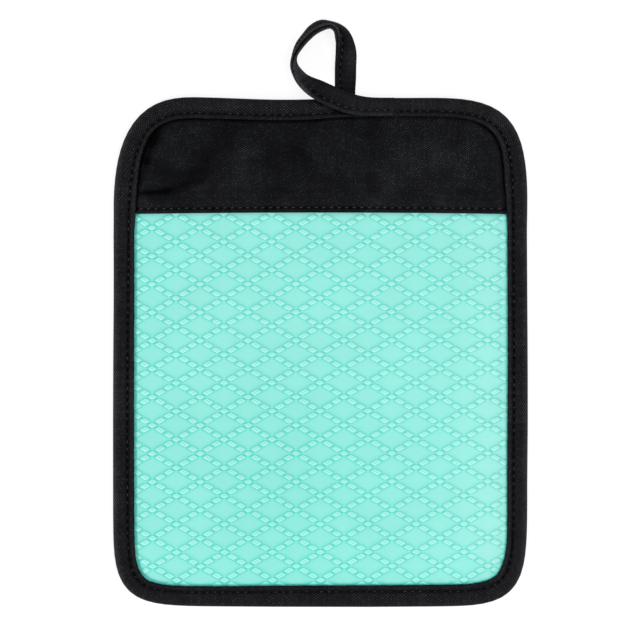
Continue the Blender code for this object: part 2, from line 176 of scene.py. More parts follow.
def hemAt(x):
    return layers["hemY"] - layers["hemBow"] * (x / layers["hemBowAt"]) ** 2


def backOver(x, y, inset):  # top of the padding
    share = np.clip((inset - layers["crownStart"]) / layers["crownRun"], 0, 1)
    crown = layers["crownRise"] * (1 - (1 - share) ** layers["crownPower"])
    above = y - hemAt(x)
    lap = softStep(above, *layers["lapBegin"]) * (1 - softStep(above, *layers["lapEnd"]))
    return layers["backEdge"] + crown - layers["lapDip"] * lap


# Materials

class Wiring:  # short ways to place and join nodes in one tree
    def __init__(self, tree):
        self.tree = tree

    def put(self, socket, value):
        if isinstance(value, bpy.types.NodeSocket):
            self.tree.links.new(value, socket)
        else:
            socket.default_value = value

    def node(self, kind, given, **settings):  # given: what goes into its inputs, by name or number
        made = self.tree.nodes.new("ShaderNode" + kind)
        for label, value in settings.items():
            setattr(made, label, value)
        for label, value in given.items():
            self.put(made.inputs[label], value)
        return made.outputs

    def math(self, operation, *values):
        return self.node("Math", dict(enumerate(values)), operation=operation)[0]

    def vector(self, operation, *values):
        return self.node("VectorMath", dict(enumerate(values)), operation=operation)[0]

    def noise(self, place, scale, detail, roughness=0.5):
        given = {"Vector": place, "Scale": scale, "Detail": detail, "Roughness": roughness}
        return self.node("TexNoise", given)["Fac"]

    def range(self, *values):  # value, from low, from high, to low, to high
        return self.node("MapRange", dict(enumerate(values)))[0]

    def mix(self, share, first, second):
        return self.node("Mix", {0: share, 6: first, 7: second}, data_type="RGBA")[2]

    def attribute(self, name):
        return self.node("Attribute", {}, attribute_name=name)["Fac"]


weaveShape = {"driftScale": 90, "drift": (3, 1.2, 0), "over": 0.4, "ridge": 0.2, "middle": 0.4}


def makeWeaveGroup():  # plain weave along the x and y of Place, with Threads to the metre each way
    group = bpy.data.node_groups.new("plainWeave", "ShaderNodeTree")
    for label in ("Place", "Threads"):
        group.interface.new_socket(name=label, in_out="INPUT", socket_type="NodeSocketVector")
    for label in ("Height", "Over", "Fleck", "Rib"):
        group.interface.new_socket(name=label, in_out="OUTPUT", socket_type="NodeSocketFloat")
    given, out = group.nodes.new("NodeGroupInput").outputs, group.nodes.new("NodeGroupOutput").inputs
    wire = Wiring(group)
    # The threads don't run quite straight.
    drift = wire.node("TexNoise", {"Vector": given["Place"], "Scale": weaveShape["driftScale"]})["Color"]
    counted = wire.vector("MULTIPLY", given["Place"], given["Threads"])
    counted = wire.vector("ADD", counted, wire.vector("MULTIPLY", drift, weaveShape["drift"]))
    x, y, _ = wire.node("SeparateXYZ", {0: counted})
    waveX, waveY = [wire.math("SINE", wire.math("MULTIPLY", part, math.pi)) for part in (x, y)]
    over = wire.math("MULTIPLY", waveX, waveY)
    ridges = wire.math("ABSOLUTE", waveX)
    ridges = wire.math("MULTIPLY_ADD", ridges, weaveShape["ridge"], weaveShape["middle"])
    wire.put(out["Height"], wire.math("MULTIPLY_ADD", over, weaveShape["over"], ridges))
    wire.put(out["Over"], over)
    columnNo, rowNo = wire.math("FLOOR", x), wire.math("FLOOR", y)
    for label, row in (("Fleck", rowNo), ("Rib", 0.0)):
        cell = wire.node("CombineXYZ", {0: columnNo, 1: row})[0]
        wire.put(out[label], wire.node("TexWhiteNoise", {"Vector": cell})["Value"])
    return group


weaveGroup = makeWeaveGroup()

cottonShared = {
    "dark": (0.0003, 0.0003, 0.0004, 1), "overPower": 2, "fleckPower": 3,
    "patchScale": 55,  # lumps of a centimetre or two
    "patchFrom": (0.3, 0.7), "fuzzScale": 2600, "fuzz": 0.15, "strength": 0.8,
    "surface": {"Sheen Roughness": 0.45, "Sheen Tint": (0.82, 0.84, 0.9, 1)},
}
cottons = {
    "panelCotton": {
        "light": (0.075, 0.0805, 0.092, 1), "place": "Object", "threads": (1240, 2050, 0),
        "relief": 0.0002, "patches": (0.65, 1.3), "ground": 0.056, "over": 0.17, "fleck": 0.72,
        "rib": 0.022, "own": {"Roughness": 0.92, "Specular IOR Level": 0.05, "Sheen Weight": 0.015},
    },
    "tapeCotton": {
        "light": (0.068, 0.07, 0.079, 1), "place": "UV", "threads": (1260, 2060, 0),
        "relief": 0.0002, "patches": (0.75, 1.2), "ground": 0.062, "over": 0.33, "fleck": 0.82,
        "rib": 0.05, "own": {"Roughness": 0.9, "Specular IOR Level": 0.06, "Sheen Weight": 0.02},
    },
    "loopCotton": {
        "light": (0.056, 0.058, 0.066, 1), "place": "UV", "threads": (1260, 2060, 0),
        "relief": 0.0001, "patches": (0.75, 1.2), "ground": 0.13, "over": 0.25, "fleck": 0.7,
        "rib": 0.1, "own": {"Roughness": 0.9, "Specular IOR Level": 0.06, "Sheen Weight": 0.02},
    },
}
threadFinish = {
    "light": (0.048, 0.049, 0.056, 1), "dark": (0.004, 0.004, 0.005, 1), "shadeTo": 0.6,
    "plies": 1400, "relief": 0.00005,
    "surface": {"Roughness": 0.7, "Specular IOR Level": 0.35, "Sheen Weight": 0.1},
}
siliconeFinish = {
    "moat": (0.082, 0.665, 0.555, 1),  # painted shade round the marks: a darker, fuller colour
    "floor": (0.29, 0.794, 0.706, 1),
    "top": (0.55, 0.915, 0.865, 1),  # painted highlight along their rims: paler
    "cloudScale": 45,
    "clouds": (0.25, 0.75, 0.975, 1.02),  # noise from and to, brightness from and to
    "grainScale": 1800,
    "roughness": (0.3, 0.7, 0.29, 0.42),  # noise from and to, roughness from and to
    "relief": 0.00002, "strength": 0.5,
    "surface": {
        "Specular IOR Level": 0.5, "IOR": 1.41, "Subsurface Weight": 0.12,
        "Subsurface Radius": (0.4, 1, 0.9), "Subsurface Scale": 0.0015,
    },
}


def startMaterial(name, surface):  # a new material, its wiring, its shader and its coordinates
    material = bpy.data.materials.new(name)
    material.use_nodes = True
    wire = Wiring(material.node_tree)
    shader = wire.tree.nodes["Principled BSDF"].inputs
    for label, value in surface.items():
        wire.put(shader[label], value)
    return material, wire, shader, wire.node("TexCoord", {})


def emboss(wire, shader, height, distance, strength=1.0):
    relief = wire.node("Bump", {"Height": height, "Distance": distance, "Strength": strength})
    wire.put(shader["Normal"], relief[0])


def makeCotton(name):
    finish = cottonShared | cottons[name]
    material, wire, shader, places = startMaterial(name, finish["surface"] | finish["own"])
    given = {"Place": places[finish["place"]], "Threads": finish["threads"]}
    weave = wire.node("Group", given, node_tree=weaveGroup)
    patches = wire.noise(places["Object"], finish["patchScale"], 3.0)
    over = wire.math("POWER", wire.math("MAXIMUM", weave["Over"], 0.0), finish["overPower"])
    fleck = wire.math("POWER", weave["Fleck"], finish["fleckPower"])
    fleck = wire.math("MULTIPLY_ADD", fleck, finish["fleck"], finish["over"])
    tone = wire.math("MULTIPLY_ADD", over, fleck, finish["ground"])
    tone = wire.math("MULTIPLY_ADD", weave["Rib"], finish["rib"], tone)
    tone = wire.math("MULTIPLY", tone, wire.range(patches, *finish["patchFrom"], *finish["patches"]))
    # The attribute paints light and shade into the cloth's colour, with some tone that differs at random.
    tone = wire.math("MULTIPLY", tone, wire.math("ADD", wire.attribute("paintedShadingAndTone"), 1.0))
    wire.put(shader["Base Color"], wire.mix(tone, finish["dark"], finish["light"]))
    fuzz = wire.noise(places["Object"], finish["fuzzScale"], 2.0)
    height = wire.math("MULTIPLY_ADD", fuzz, finish["fuzz"], weave["Height"])
    emboss(wire, shader, height, finish["relief"], finish["strength"])
    return material


def makeThread():
    finish = threadFinish
    material, wire, shader, places = startMaterial("blackThread", finish["surface"])
    given = {"Vector": places["Object"], "Scale": finish["plies"]}
    twist = wire.node("TexWave", given, bands_direction="DIAGONAL")["Fac"]  # the plies wind slantwise
    shade = wire.range(twist, 0.0, 1.0, 0.0, finish["shadeTo"])
    wire.put(shader["Base Color"], wire.mix(shade, finish["light"], finish["dark"]))
    emboss(wire, shader, twist, finish["relief"])
    return material


def makeSilicone():
    finish = siliconeFinish
    material, wire, shader, places = startMaterial("mintSilicone", finish["surface"])
    # The attribute paints light and shade into the colour: towards top for highlights along the marks'
    # rims, towards moat for shade round the marks and near the tape.
    paintedSiliconeShading = wire.attribute("paintedSiliconeShading")
    colour = wire.mix(paintedSiliconeShading, finish["floor"], finish["top"])
    colour = wire.mix(wire.math("MULTIPLY", paintedSiliconeShading, -1.0), colour, finish["moat"])
    clouds = wire.range(wire.noise(places["Object"], finish["cloudScale"], 3.0), *finish["clouds"])
    wire.put(shader["Base Color"], wire.node("HueSaturation", {"Value": clouds, "Color": colour})[0])
    grain = wire.noise(places["Object"], finish["grainScale"], 3.0, 0.6)
    wire.put(shader["Roughness"], wire.range(grain, *finish["roughness"]))
    emboss(wire, shader, grain, finish["relief"], finish["strength"])
    return material


panelCotton, tapeCotton, loopCotton = [makeCotton(name) for name in cottons]
blackThread, mintSilicone = makeThread(), makeSilicone()
print("materials made")


# Silicone sheet

siliconeSheet = {
    "nodeAt": (-10.466, 5.08), "risingSide": (10.376, 6.144), "fallingSide": (10.402, -6.103),
    "tilesWithin": (100, -118, 76.8),  # x to either side, y from, y to
    "markHeight": 0.19,
    # Every place below is a share of a diamond's side, the two sides of a diamond being the axes.
    "halfWidth": 0.089, "nodeHalf": 0.091,
    "dashes": ((0.198, 0.464), (0.573, 0.806)),  # from, to, counted left to right from a node
    "slope": (  # outwards from a mark's edge: height as a share, and painted shade and highlight below and above the mark
        (-0.052, 1, 0.1, 0.12), (-0.026, 0.94, 0.76, 0.5), (-0.006, 0.68, 0.25, 0.45),
        (0.012, 0.22, -0.8, -0.5), (0.032, 0.04, -0.7, -0.86), (0.06, 0, -0.2, -0.44),
        (0.095, 0, -0.06, -0.2), (0.15, 0, 0, -0.05), (0.2, 0, 0, 0),
    ),
    "nodeCornerLight": (0.2, 0.135, 0.135, 0.04, 0.04),  # painted light on the floor at the corners round a node: amount, two places, half widths
    "fuller": (-0.14, 0.145, 0, 0.03, 0.06),  # and painted shade between a node and its dashes
    "sideProbe": 0.01, "ringsDrawn": 5, "ringsStrewn": (0.06, 0.095), "strewnWithin": 0.46,
    "roundCorner": 0.028, "leastCorner": 0.004, "borderSteps": 6, "floorStep": 0.1,
    # From here on it is millimetres again.
    "hiddenInset": 3.2,  # the sheet ends this far in, inside the tape
    "fadeUnderTape": (5.5, 7),
    "lipShadeSpan": (0.4, 1.3),  # painted shadow of the tape's lip: the colour is fuller from the tape's edge out to these
    "fadeUnderHem": (3, 5), "lumps": (0.05, 17, 3), "lumpsFrom": (9, 14),
    "contrast": (1.03, 0.00075),  # of the painted shade and highlight tones at the middle, and how much less to each mm right
    "fullerPatch": (0.14, -10, 50, -20, 60),  # amount, middle and half length in x, begin and end in -y
    "leastTone": -1.1, "underGrid": 6, "underLift": 0.12, "reach": 13,
}


def roundedLoop(mark, grow):  # a ring of points this far outside a rounded mark
    lowU, highU, lowV, highV = mark
    corner = max(siliconeSheet["roundCorner"], siliconeSheet["leastCorner"] - grow)
    radius = corner + grow
    loop = []
    for quarter, (u, v) in enumerate(((highU, highV), (lowU, highV), (lowU, lowV), (highU, lowV))):
        u -= math.copysign(corner, u - (lowU + highU) / 2)
        v -= math.copysign(corner, v - (lowV + highV) / 2)
        for step in (0, 0.5, 1):
            turn = math.pi / 2 * (quarter + step)
            loop.append((u + radius * math.cos(turn), v + radius * math.sin(turn)))
    return loop


def beyondMarks(u, v, marks):  # how far outside the nearest rounded mark, below 0 inside it
    corner = siliconeSheet["roundCorner"]
    beyond = []
    for lowU, highU, lowV, highV in marks:
        pastU = np.abs(u - (lowU + highU) / 2) - (highU - lowU) / 2 + corner
        pastV = np.abs(v - (lowV + highV) / 2) - (highV - lowV) / 2 + corner
        inside = np.minimum(np.maximum(pastU, pastV), 0)
        beyond.append(np.hypot(pastU.clip(0), pastV.clip(0)) + inside - corner)
    return np.min(beyond, axis=0)


def latticeTile():  # one node and the four dashes round it, from -0.5 to 0.5 along both axes
    sheet = siliconeSheet
    half, steps, probe = sheet["halfWidth"], sheet["borderSteps"], sheet["sideProbe"]
    marks, nextMarks = [(-sheet["nodeHalf"], sheet["nodeHalf"]) * 2], []
    for start, end in sheet["dashes"]:
        for low, high in ((start, end), (start - 1, end - 1)):
            own = marks if -0.5 < low and high < 0.5 else nextMarks
            own += [(low, high, -half, half), (-half, half, low, high)]
    allMarks = marks + nextMarks
    sides = [-0.5 + i / steps for i in range(steps)]
    border = [(a, -0.5) for a in sides] + [(0.5, a) for a in sides]
    border += [(-a, 0.5) for a in sides] + [(-0.5, -a) for a in sides]
    slope = np.array(sheet["slope"])
    places, edges = list(border), []
    for mark in marks:
        for grow in slope[: sheet["ringsDrawn"], 0]:
            loop = roundedLoop(mark, grow)
            start = len(places)
            edges += [(start + i, start + (i + 1) % len(loop)) for i in range(len(loop))]
            places += loop
    loose = []
    for grow in sheet["ringsStrewn"]:
        loose += [(u, v, grow) for mark in marks for u, v in roundedLoop(mark, grow)]
    steps = np.arange(-4, 5) * sheet["floorStep"]
    loose += [(u, v, slope[-1, 0]) for u in steps for v in steps]
    for u, v, space in loose:
        nearest = beyondMarks(np.array(u), np.array(v), allMarks)
        if nearest > space - 0.001 and max(abs(u), abs(v)) < sheet["strewnWithin"]:
            places.append((u, v))
    flat, faces = triangles(places, edges, len(border), 1e-6)
    u, v = flat.T
    beyond = beyondMarks(u, v, allMarks)
    rise = beyondMarks(u + probe, v - probe, allMarks) - beyondMarks(u - probe, v + probe, allMarks)
    over = np.clip(0.5 + rise / (4 * probe), 0, 1)  # 1 above the nearest mark, 0 below it; the painted shade reaches farther above a mark
    height, toneUnder, toneOver = [np.interp(beyond, slope[:, 0], slope[:, i]) for i in (1, 2, 3)]
    tone = toneUnder + (toneOver - toneUnder) * over
    far, near = np.maximum(np.abs(u), np.abs(v)), np.minimum(np.abs(u), np.abs(v))
    for amount, farAt, nearAt, farHalf, nearHalf in (sheet["nodeCornerLight"], sheet["fuller"]):
        tone += amount * bump(far, farAt, farHalf) * bump(near, nearAt, nearHalf)
    print("lattice tile", len(flat), "points")
    return flat, np.column_stack((height, tone)), np.array(faces)


def triangles(points, edges, rim, close):  # points and faces within the loop of the first points
    points = [Vector(point) for point in points]
    flat, _, faces, *_ = geometry.delaunay_2d_cdt(points, edges, [list(range(rim))], 1, close)
    return np.array([tuple(point) for point in flat]), faces


def borderEdges(faces):  # edges that only one face has, as point pairs in the face's order
    pairs = np.stack((faces, np.roll(faces, -1, 1)), axis=-1).reshape(-1, 2).astype(np.int64)
    size = faces.max() + 1
    single = ~np.isin(pairs[:, 0] * size + pairs[:, 1], pairs[:, 1] * size + pairs[:, 0])
    return pairs[single]


def boundaryLoop(faces):
    ahead = dict(borderEdges(faces).tolist())
    loops = []
    while ahead:
        loop = [next(iter(ahead))]
        while ahead[loop[-1]] != loop[0]:
            loop.append(ahead.pop(loop[-1]))
        ahead.pop(loop[-1])
        loops.append(loop)
    return max(loops, key=len)


def tidyBorder(faces):  # drops faces until no point has two borders running through it
    while True:
        points, counts = np.unique(borderEdges(faces)[:, 0], return_counts=True)
        crossed = points[counts > 1]
        if not len(crossed):
            return faces
        faces = faces[~np.isin(faces, crossed).any(axis=1)]


def keptPoints(count, faces):  # which points the faces use, and the faces with these counted afresh
    used = np.unique(faces)
    fresh = np.full(count, -1)
    fresh[used] = np.arange(len(used))
    return used, fresh[faces]


def closeUp(faces, underFaces, loop, underLoop, start):  # adds the walls and the underside
    below = [start + i for i in underLoop]
    walls = zip(loop, below, below[1:] + below[:1], loop[1:] + loop[:1])
    return faces.tolist() + [[start + i for i in reversed(face)] for face in underFaces] + list(walls)


def makeSiliconePanel():
    sheet = siliconeSheet
    tile, tileHeight, tileFaces = latticeTile()
    nodeAt, sides = np.array(sheet["nodeAt"]), np.array((sheet["risingSide"], sheet["fallingSide"]))
    xWithin, yFrom, yTo = sheet["tilesWithin"]
    numbers = range(-sheet["reach"], sheet["reach"] + 1)
    places, faces = [], []
    for number in [(first, second) for first in numbers for second in numbers]:
        x, y = nodeAt + np.array(number) @ sides
        if abs(x) < xWithin and yFrom < y < yTo:
            faces.append(tileFaces + len(places) * len(tile))
            places.append(tile + number)
    heights, faces = np.tile(tileHeight, (len(places), 1)), np.concatenate(faces)
    places = np.concatenate(places)
    # Neighbouring tiles share their border's points, which lie at whole parts of a side.
    same = np.round(places * 1000 * sheet["borderSteps"]).astype(int)
    _, first, back = np.unique(same, axis=0, return_index=True, return_inverse=True)
    places, heights, faces = places[first], heights[first], back.ravel()[faces]
    points = nodeAt + places @ sides
    inset = insetAt(*points.T)
    above = points[:, 1] - hemAt(points[:, 0])
    keep = (inset > sheet["hiddenInset"]) & (above < layers["lap"] - 1)
    used, faces = keptPoints(len(points), tidyBorder(faces[keep[faces].all(axis=1)]))
    points, heights, inset, above = points[used], heights[used], inset[used], above[used]
    x, y = points.T
    fade = softStep(inset, *sheet["fadeUnderTape"]) * (1 - softStep(above, *sheet["fadeUnderHem"]))
    floor = backOver(x, y, inset) + layers["gap"] + layers["silicone"]
    z = floor + sheet["markHeight"] * heights[:, 0] * fade
    z += unevenness(x, y, sheet["lumps"]) * softStep(inset, *sheet["lumpsFrom"])
    (ax, ay), (bx, by) = [(points[faces[:, i]] - points[faces[:, 0]]).T for i in (1, 2)]
    faces = np.where((ax * by < ay * bx)[:, None], faces[:, ::-1], faces)
    loop = boundaryLoop(faces)
    rim = points[loop]
    low, high = rim.min(0), rim.max(0)
    columns, rows = [np.arange(low[i], high[i], sheet["underGrid"]) for i in (0, 1)]
    grid = [(a, b) for a in columns for b in rows]
    under, underFaces = triangles([*rim, *grid], [], len(rim), 1e-5)
    underZ = backOver(*under.T, insetAt(*under.T)) + layers["gap"] + sheet["underLift"]
    everything = np.vstack((np.c_[points, z], np.c_[under, underZ]))
    allFaces = closeUp(faces, underFaces, loop, range(len(loop)), len(points))
    piece = makePiece("siliconePanel", everything, allFaces, mintSilicone)
    lip = lipAt(x, y)
    most, less = sheet["contrast"]
    amount, middle, half, begin, end = sheet["fullerPatch"]
    # Painted shade and highlight of the marks, weaker to the right.
    tone = heights[:, 1] * fade * (most - less * x)
    tone -= amount * bump(x, middle, half) * softStep(-y, begin, end)
    # Painted shadow of the tape's lip on the sheet.
    begin, end = sheet["lipShadeSpan"]
    tone += softStep(inset, lip + begin, lip + end) - 1
    keepTone(piece, "paintedSiliconeShading", np.concatenate((tone.clip(sheet["leastTone"]), np.zeros(len(under)))))
    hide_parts("silicone_panel")


# Cotton panels

topPanelCloth = {
    "hemFold": (8, 9.6), "hemThicker": 0.6, "hemSeam": 1.8,
    "seam": (-0.42, 0, 0.45),  # height, above hemSeam, half width
    "seamHollow": (-0.15, 0, 1.3),
    "seamUneven": (-0.126, 0, 0.45),  # these two come and go with the stitches
    "gathers": (0.05, 1, 1.4), "hemEdgeRound": 0.9, "hemEdgeDrop": 0.8, "stitchPitch": 3.3,
    "puff": 0.9, "puffInsets": (9.5, 20), "overSilicone": 0.3,
    "sewn": (79.2, 9.6, 0.399),  # x to either side, least inset, how deep in the seam
    "clearOfTape": (7, 9.5), "lumps": ((0.16, 13, 7), (0.07, 5.5, 11)),
    "lumpsFrom": ((8.5, 14), (2.5, 8)),  # inset, above the hem
    "edgeWaves": (0.1, 4.4, 1.7),  # pulled in by the tape's seam: height, length, seed
    "edgeWavesAt": (10.5, 3),
    "pressed": (5.05, 50, 8, 12.4),  # height under the tape, and where that ends
    "leastThick": 0.45, "lipGap": 0.55,
    "lipGapWide": (0.75, 0.2, 60, 75),  # half width, how much more at the right, between these x
    "pitch": 0.75, "columnsTo": 88, "rowsFrom": (5.2, 52), "hiddenInset": 2.4,
    "hemRows": (-0.35, -0.25, -0.1, 0.2, 0.6, 1, 1.3, 1.5, 1.65, 1.8, 1.95, 2.15, 2.4, 2.8, 3.4, 4.2),
    "wrinkles": (  # x from, y from, x to, y to, half width, depth (negative is a ridge)
        (-37, 97, -50, 83, 6, 0.75), (-50, 83, -65, 69, 5.5, 0.6), (-79, 69, -64, 70, 3.5, 0.5),
        (-4, 100, -9, 87, 5.5, 0.6), (-9, 87, -19, 71, 6, 0.5), (12, 101, 21, 95, 5, 0.6),
        (-77, 96, -73, 82, 4.5, 0.6), (-30, 90, -38, 76, 5, -0.45), (66, 72, 74, 92, 5, 0.4),
        (34, 78, 52, 84, 7, -0.35),
    ),
    "creases": (  # finer ones, which only this model has
        (-81, 68.5, -66, 70, 1.2, 0.42), (-66, 70, -52, 74, 1.8, 0.2), (-70.8, 97, -73, 92, 2.3, 0.6),
        (-73, 92, -75.1, 83.4, 2.3, 0.5), (-75.1, 83.4, -77.5, 74, 1.6, 0.3),
        (-30, 101, -41, 91, 1.8, 0.08), (-41, 91, -58, 73, 2.6, 0.07), (-2, 101, -7, 92, 1.6, 0.12),
        (75, 84, 81, 80, 1.2, 0.22), (76, 73, 81.5, 72, 1, 0.2), (74, 92, 79, 89, 1.4, 0.18),
        (-60, 101, -56, 94, 1.6, 0.14), (40, 102, 44, 93, 2, 0.1), (69.4, 99.2, 74.6, 95, 0.6, 0.5),
        (74.6, 95, 77.2, 91.6, 0.6, 0.5), (77.2, 91.6, 79.3, 86.5, 0.55, 0.4),
    ),
    "paintedShadingAndTone": {
        # Painted shade in the wrinkles and creases, and under the tape's lip (lip); lumps are tone that
        # differs at random.
        "wrinkle": 0.5, "crease": 1.5,
        "seam": (-0.5, 0, 0.55),  # painted shade in the seam: amount, above hemSeam, half width
        # painted shade in the needle holes
        "hole": (-0.45, 0, 0.4),
        "right": (0.25, 0, 80),  # lighter towards the right: amount, x from, x to
        "lumps": ((0.4, 9, 31), (0.15, 4, 37)), "lip": 1.3, "least": -0.99,
    },
}


def creaseDepth(x, y, rows):
    total = np.zeros(x.shape)
    for fromX, fromY, toX, toY, half, depth in rows:
        runX, runY = toX - fromX, toY - fromY
        share = np.clip(((x - fromX) * runX + (y - fromY) * runY) / (runX**2 + runY**2), 0, 1)
        total += depth * bump(np.hypot(x - fromX - share * runX, y - fromY - share * runY), 0, half)
    return total


def needleHole(phase):  # 1 where the needle goes through, and below 0 far from it
    return 0.45 + 0.55 * np.cos(phase)


def corners(grid):  # the four corners of each cell of a grid
    return np.stack((grid[:-1, :-1], grid[1:, :-1], grid[1:, 1:], grid[:-1, 1:]), axis=-1).reshape(-1, 4)


def clothGrid(columns, rows, foot, hidden):  # rows above foot(x), cut off under the tape
    x, above = np.tile(columns, len(rows)), np.repeat(rows, len(columns))
    y = foot(x) + above
    inset = insetAt(x, y)
    faces = corners(np.arange(len(x)).reshape(len(rows), len(columns)))[:, [0, 3, 2, 1]]
    used, faces = keptPoints(len(x), tidyBorder(faces[(inset > hidden)[faces].all(axis=1)]))
    return x[used], above[used], y[used], inset[used], faces


def layerPiece(name, points, faces, over, under, paintedShadingAndTone):  # a closed layer between two heights
    loop = boundaryLoop(faces)
    everything = np.vstack((np.c_[points, over], np.c_[points, under]))
    allFaces = closeUp(faces, faces, loop, loop, len(points))
    piece = makePiece(name, everything, allFaces, panelCotton)
    keepTone(piece, "paintedShadingAndTone", np.concatenate((paintedShadingAndTone, np.zeros(len(points)))))
    return piece


def makeTopPanel():
    cloth, shadingTable = topPanelCloth, topPanelCloth["paintedShadingAndTone"]
    seamAt, reach = cloth["hemSeam"], cloth["columnsTo"]
    rows = [*cloth["hemRows"], *np.arange(*cloth["rowsFrom"], cloth["pitch"])]
    columns = np.arange(-reach, reach + 0.01, cloth["pitch"])
    x, above, y, inset, faces = clothGrid(columns, rows, hemAt, cloth["hiddenInset"])
    wrinkle, crease = creaseDepth(x, y, cloth["wrinkles"]), creaseDepth(x, y, cloth["creases"])
    slack = softStep(inset, *cloth["puffInsets"]) * softStep(above, seamAt, 2.5 * seamAt)
    onSilicone = layers["silicone"] + layers["gap"] + cloth["overSilicone"]
    under = backOver(x, y, inset) + layers["gap"] + onSilicone * (1 - softStep(above, *layers["lapEnd"]))
    under += np.maximum(0, cloth["puff"] - wrinkle) * slack
    clear = softStep(inset, *cloth["clearOfTape"])
    phase = 2 * np.pi * x / cloth["stitchPitch"]
    seam = ridges(above, seamAt, cloth["seam"], cloth["seamHollow"])
    seam += np.cos(phase) * ridges(above, seamAt, cloth["seamUneven"], cloth["gathers"])
    hem = cloth["hemThicker"] * (1 - softStep(above, *cloth["hemFold"])) + seam
    fromEdge = np.clip((above - cloth["hemRows"][0]) / cloth["hemEdgeRound"], 0, 1)
    fold = cloth["hemEdgeRound"] * (1 - np.sqrt(1 - (1 - fromEdge) ** 2))
    over = under + layers["cotton"] + hem * clear - cloth["hemEdgeDrop"] * fold
    over -= crease * softStep(inset, 8, 10)
    fromTape, fromHem = cloth["lumpsFrom"]
    over += unevenness(x, y, *cloth["lumps"]) * softStep(inset, *fromTape) * softStep(above, *fromHem)
    waves = wander(x + 0.6 * y, *cloth["edgeWaves"]) * bump(inset, *cloth["edgeWavesAt"])
    over += waves * softStep(above, 2, 6)
    low, rise, start, end = cloth["pressed"]
    over = np.minimum(over, low + rise * softStep(inset, start, end))
    half, wider, start, end = cloth["lipGapWide"]
    lip = lipAt(x, y) + 0.25
    atLip = bump(inset, lip, half + wider * softStep(x, start, end)) * clear * softStep(above, 0.2, 1.5)
    over -= cloth["lipGap"] * atLip
    under = np.minimum(under, over - cloth["leastThick"])
    # Painted shade in wrinkles, creases, under the lip, in the seam and its needle holes; lighter towards
    # the right; random lumps of tone.
    paintedShadingAndTone = -shadingTable["wrinkle"] * wrinkle - shadingTable["crease"] * crease - shadingTable["lip"] * atLip
    paintedShadingAndTone += ridges(above, seamAt, shadingTable["seam"])
    paintedShadingAndTone += needleHole(phase).clip(0) * ridges(above, seamAt, shadingTable["hole"])
    amount, start, end = shadingTable["right"]
    paintedShadingAndTone += amount * softStep(x, start, end) + unevenness(x, y, *shadingTable["lumps"])
    paintedShadingAndTone = np.maximum(paintedShadingAndTone, shadingTable["least"])
    piece = layerPiece("topPanel", np.c_[x, y], faces, over, under, paintedShadingAndTone)
    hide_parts("top_panel")


backPad = {
    "pitch": 2.4, "columnsTo": 88, "rowsTo": 108, "hiddenInset": 2.2, "step": (9.2, 12.2),
    "edgeUnder": 1.4, "soft": (0.06, 26, 21), "softFrom": (12, 20),
}


def makeBackPanel():
    pad = backPad
    columns, rows = [np.arange(-pad[to], pad[to] + 0.01, pad["pitch"]) for to in ("columnsTo", "rowsTo")]
    x, _, y, inset, faces = clothGrid(columns, rows, np.zeros_like, pad["hiddenInset"])
    under = pad["edgeUnder"] * (1 - softStep(inset, *pad["step"]))
    under += (pad["soft"][0] + unevenness(x, y, pad["soft"])) * softStep(inset, *pad["softFrom"])
    piece = layerPiece("backPanel", np.c_[x, y], faces, backOver(x, y, inset), under, 0 * x)
    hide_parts("back_panel")


# Binding tape

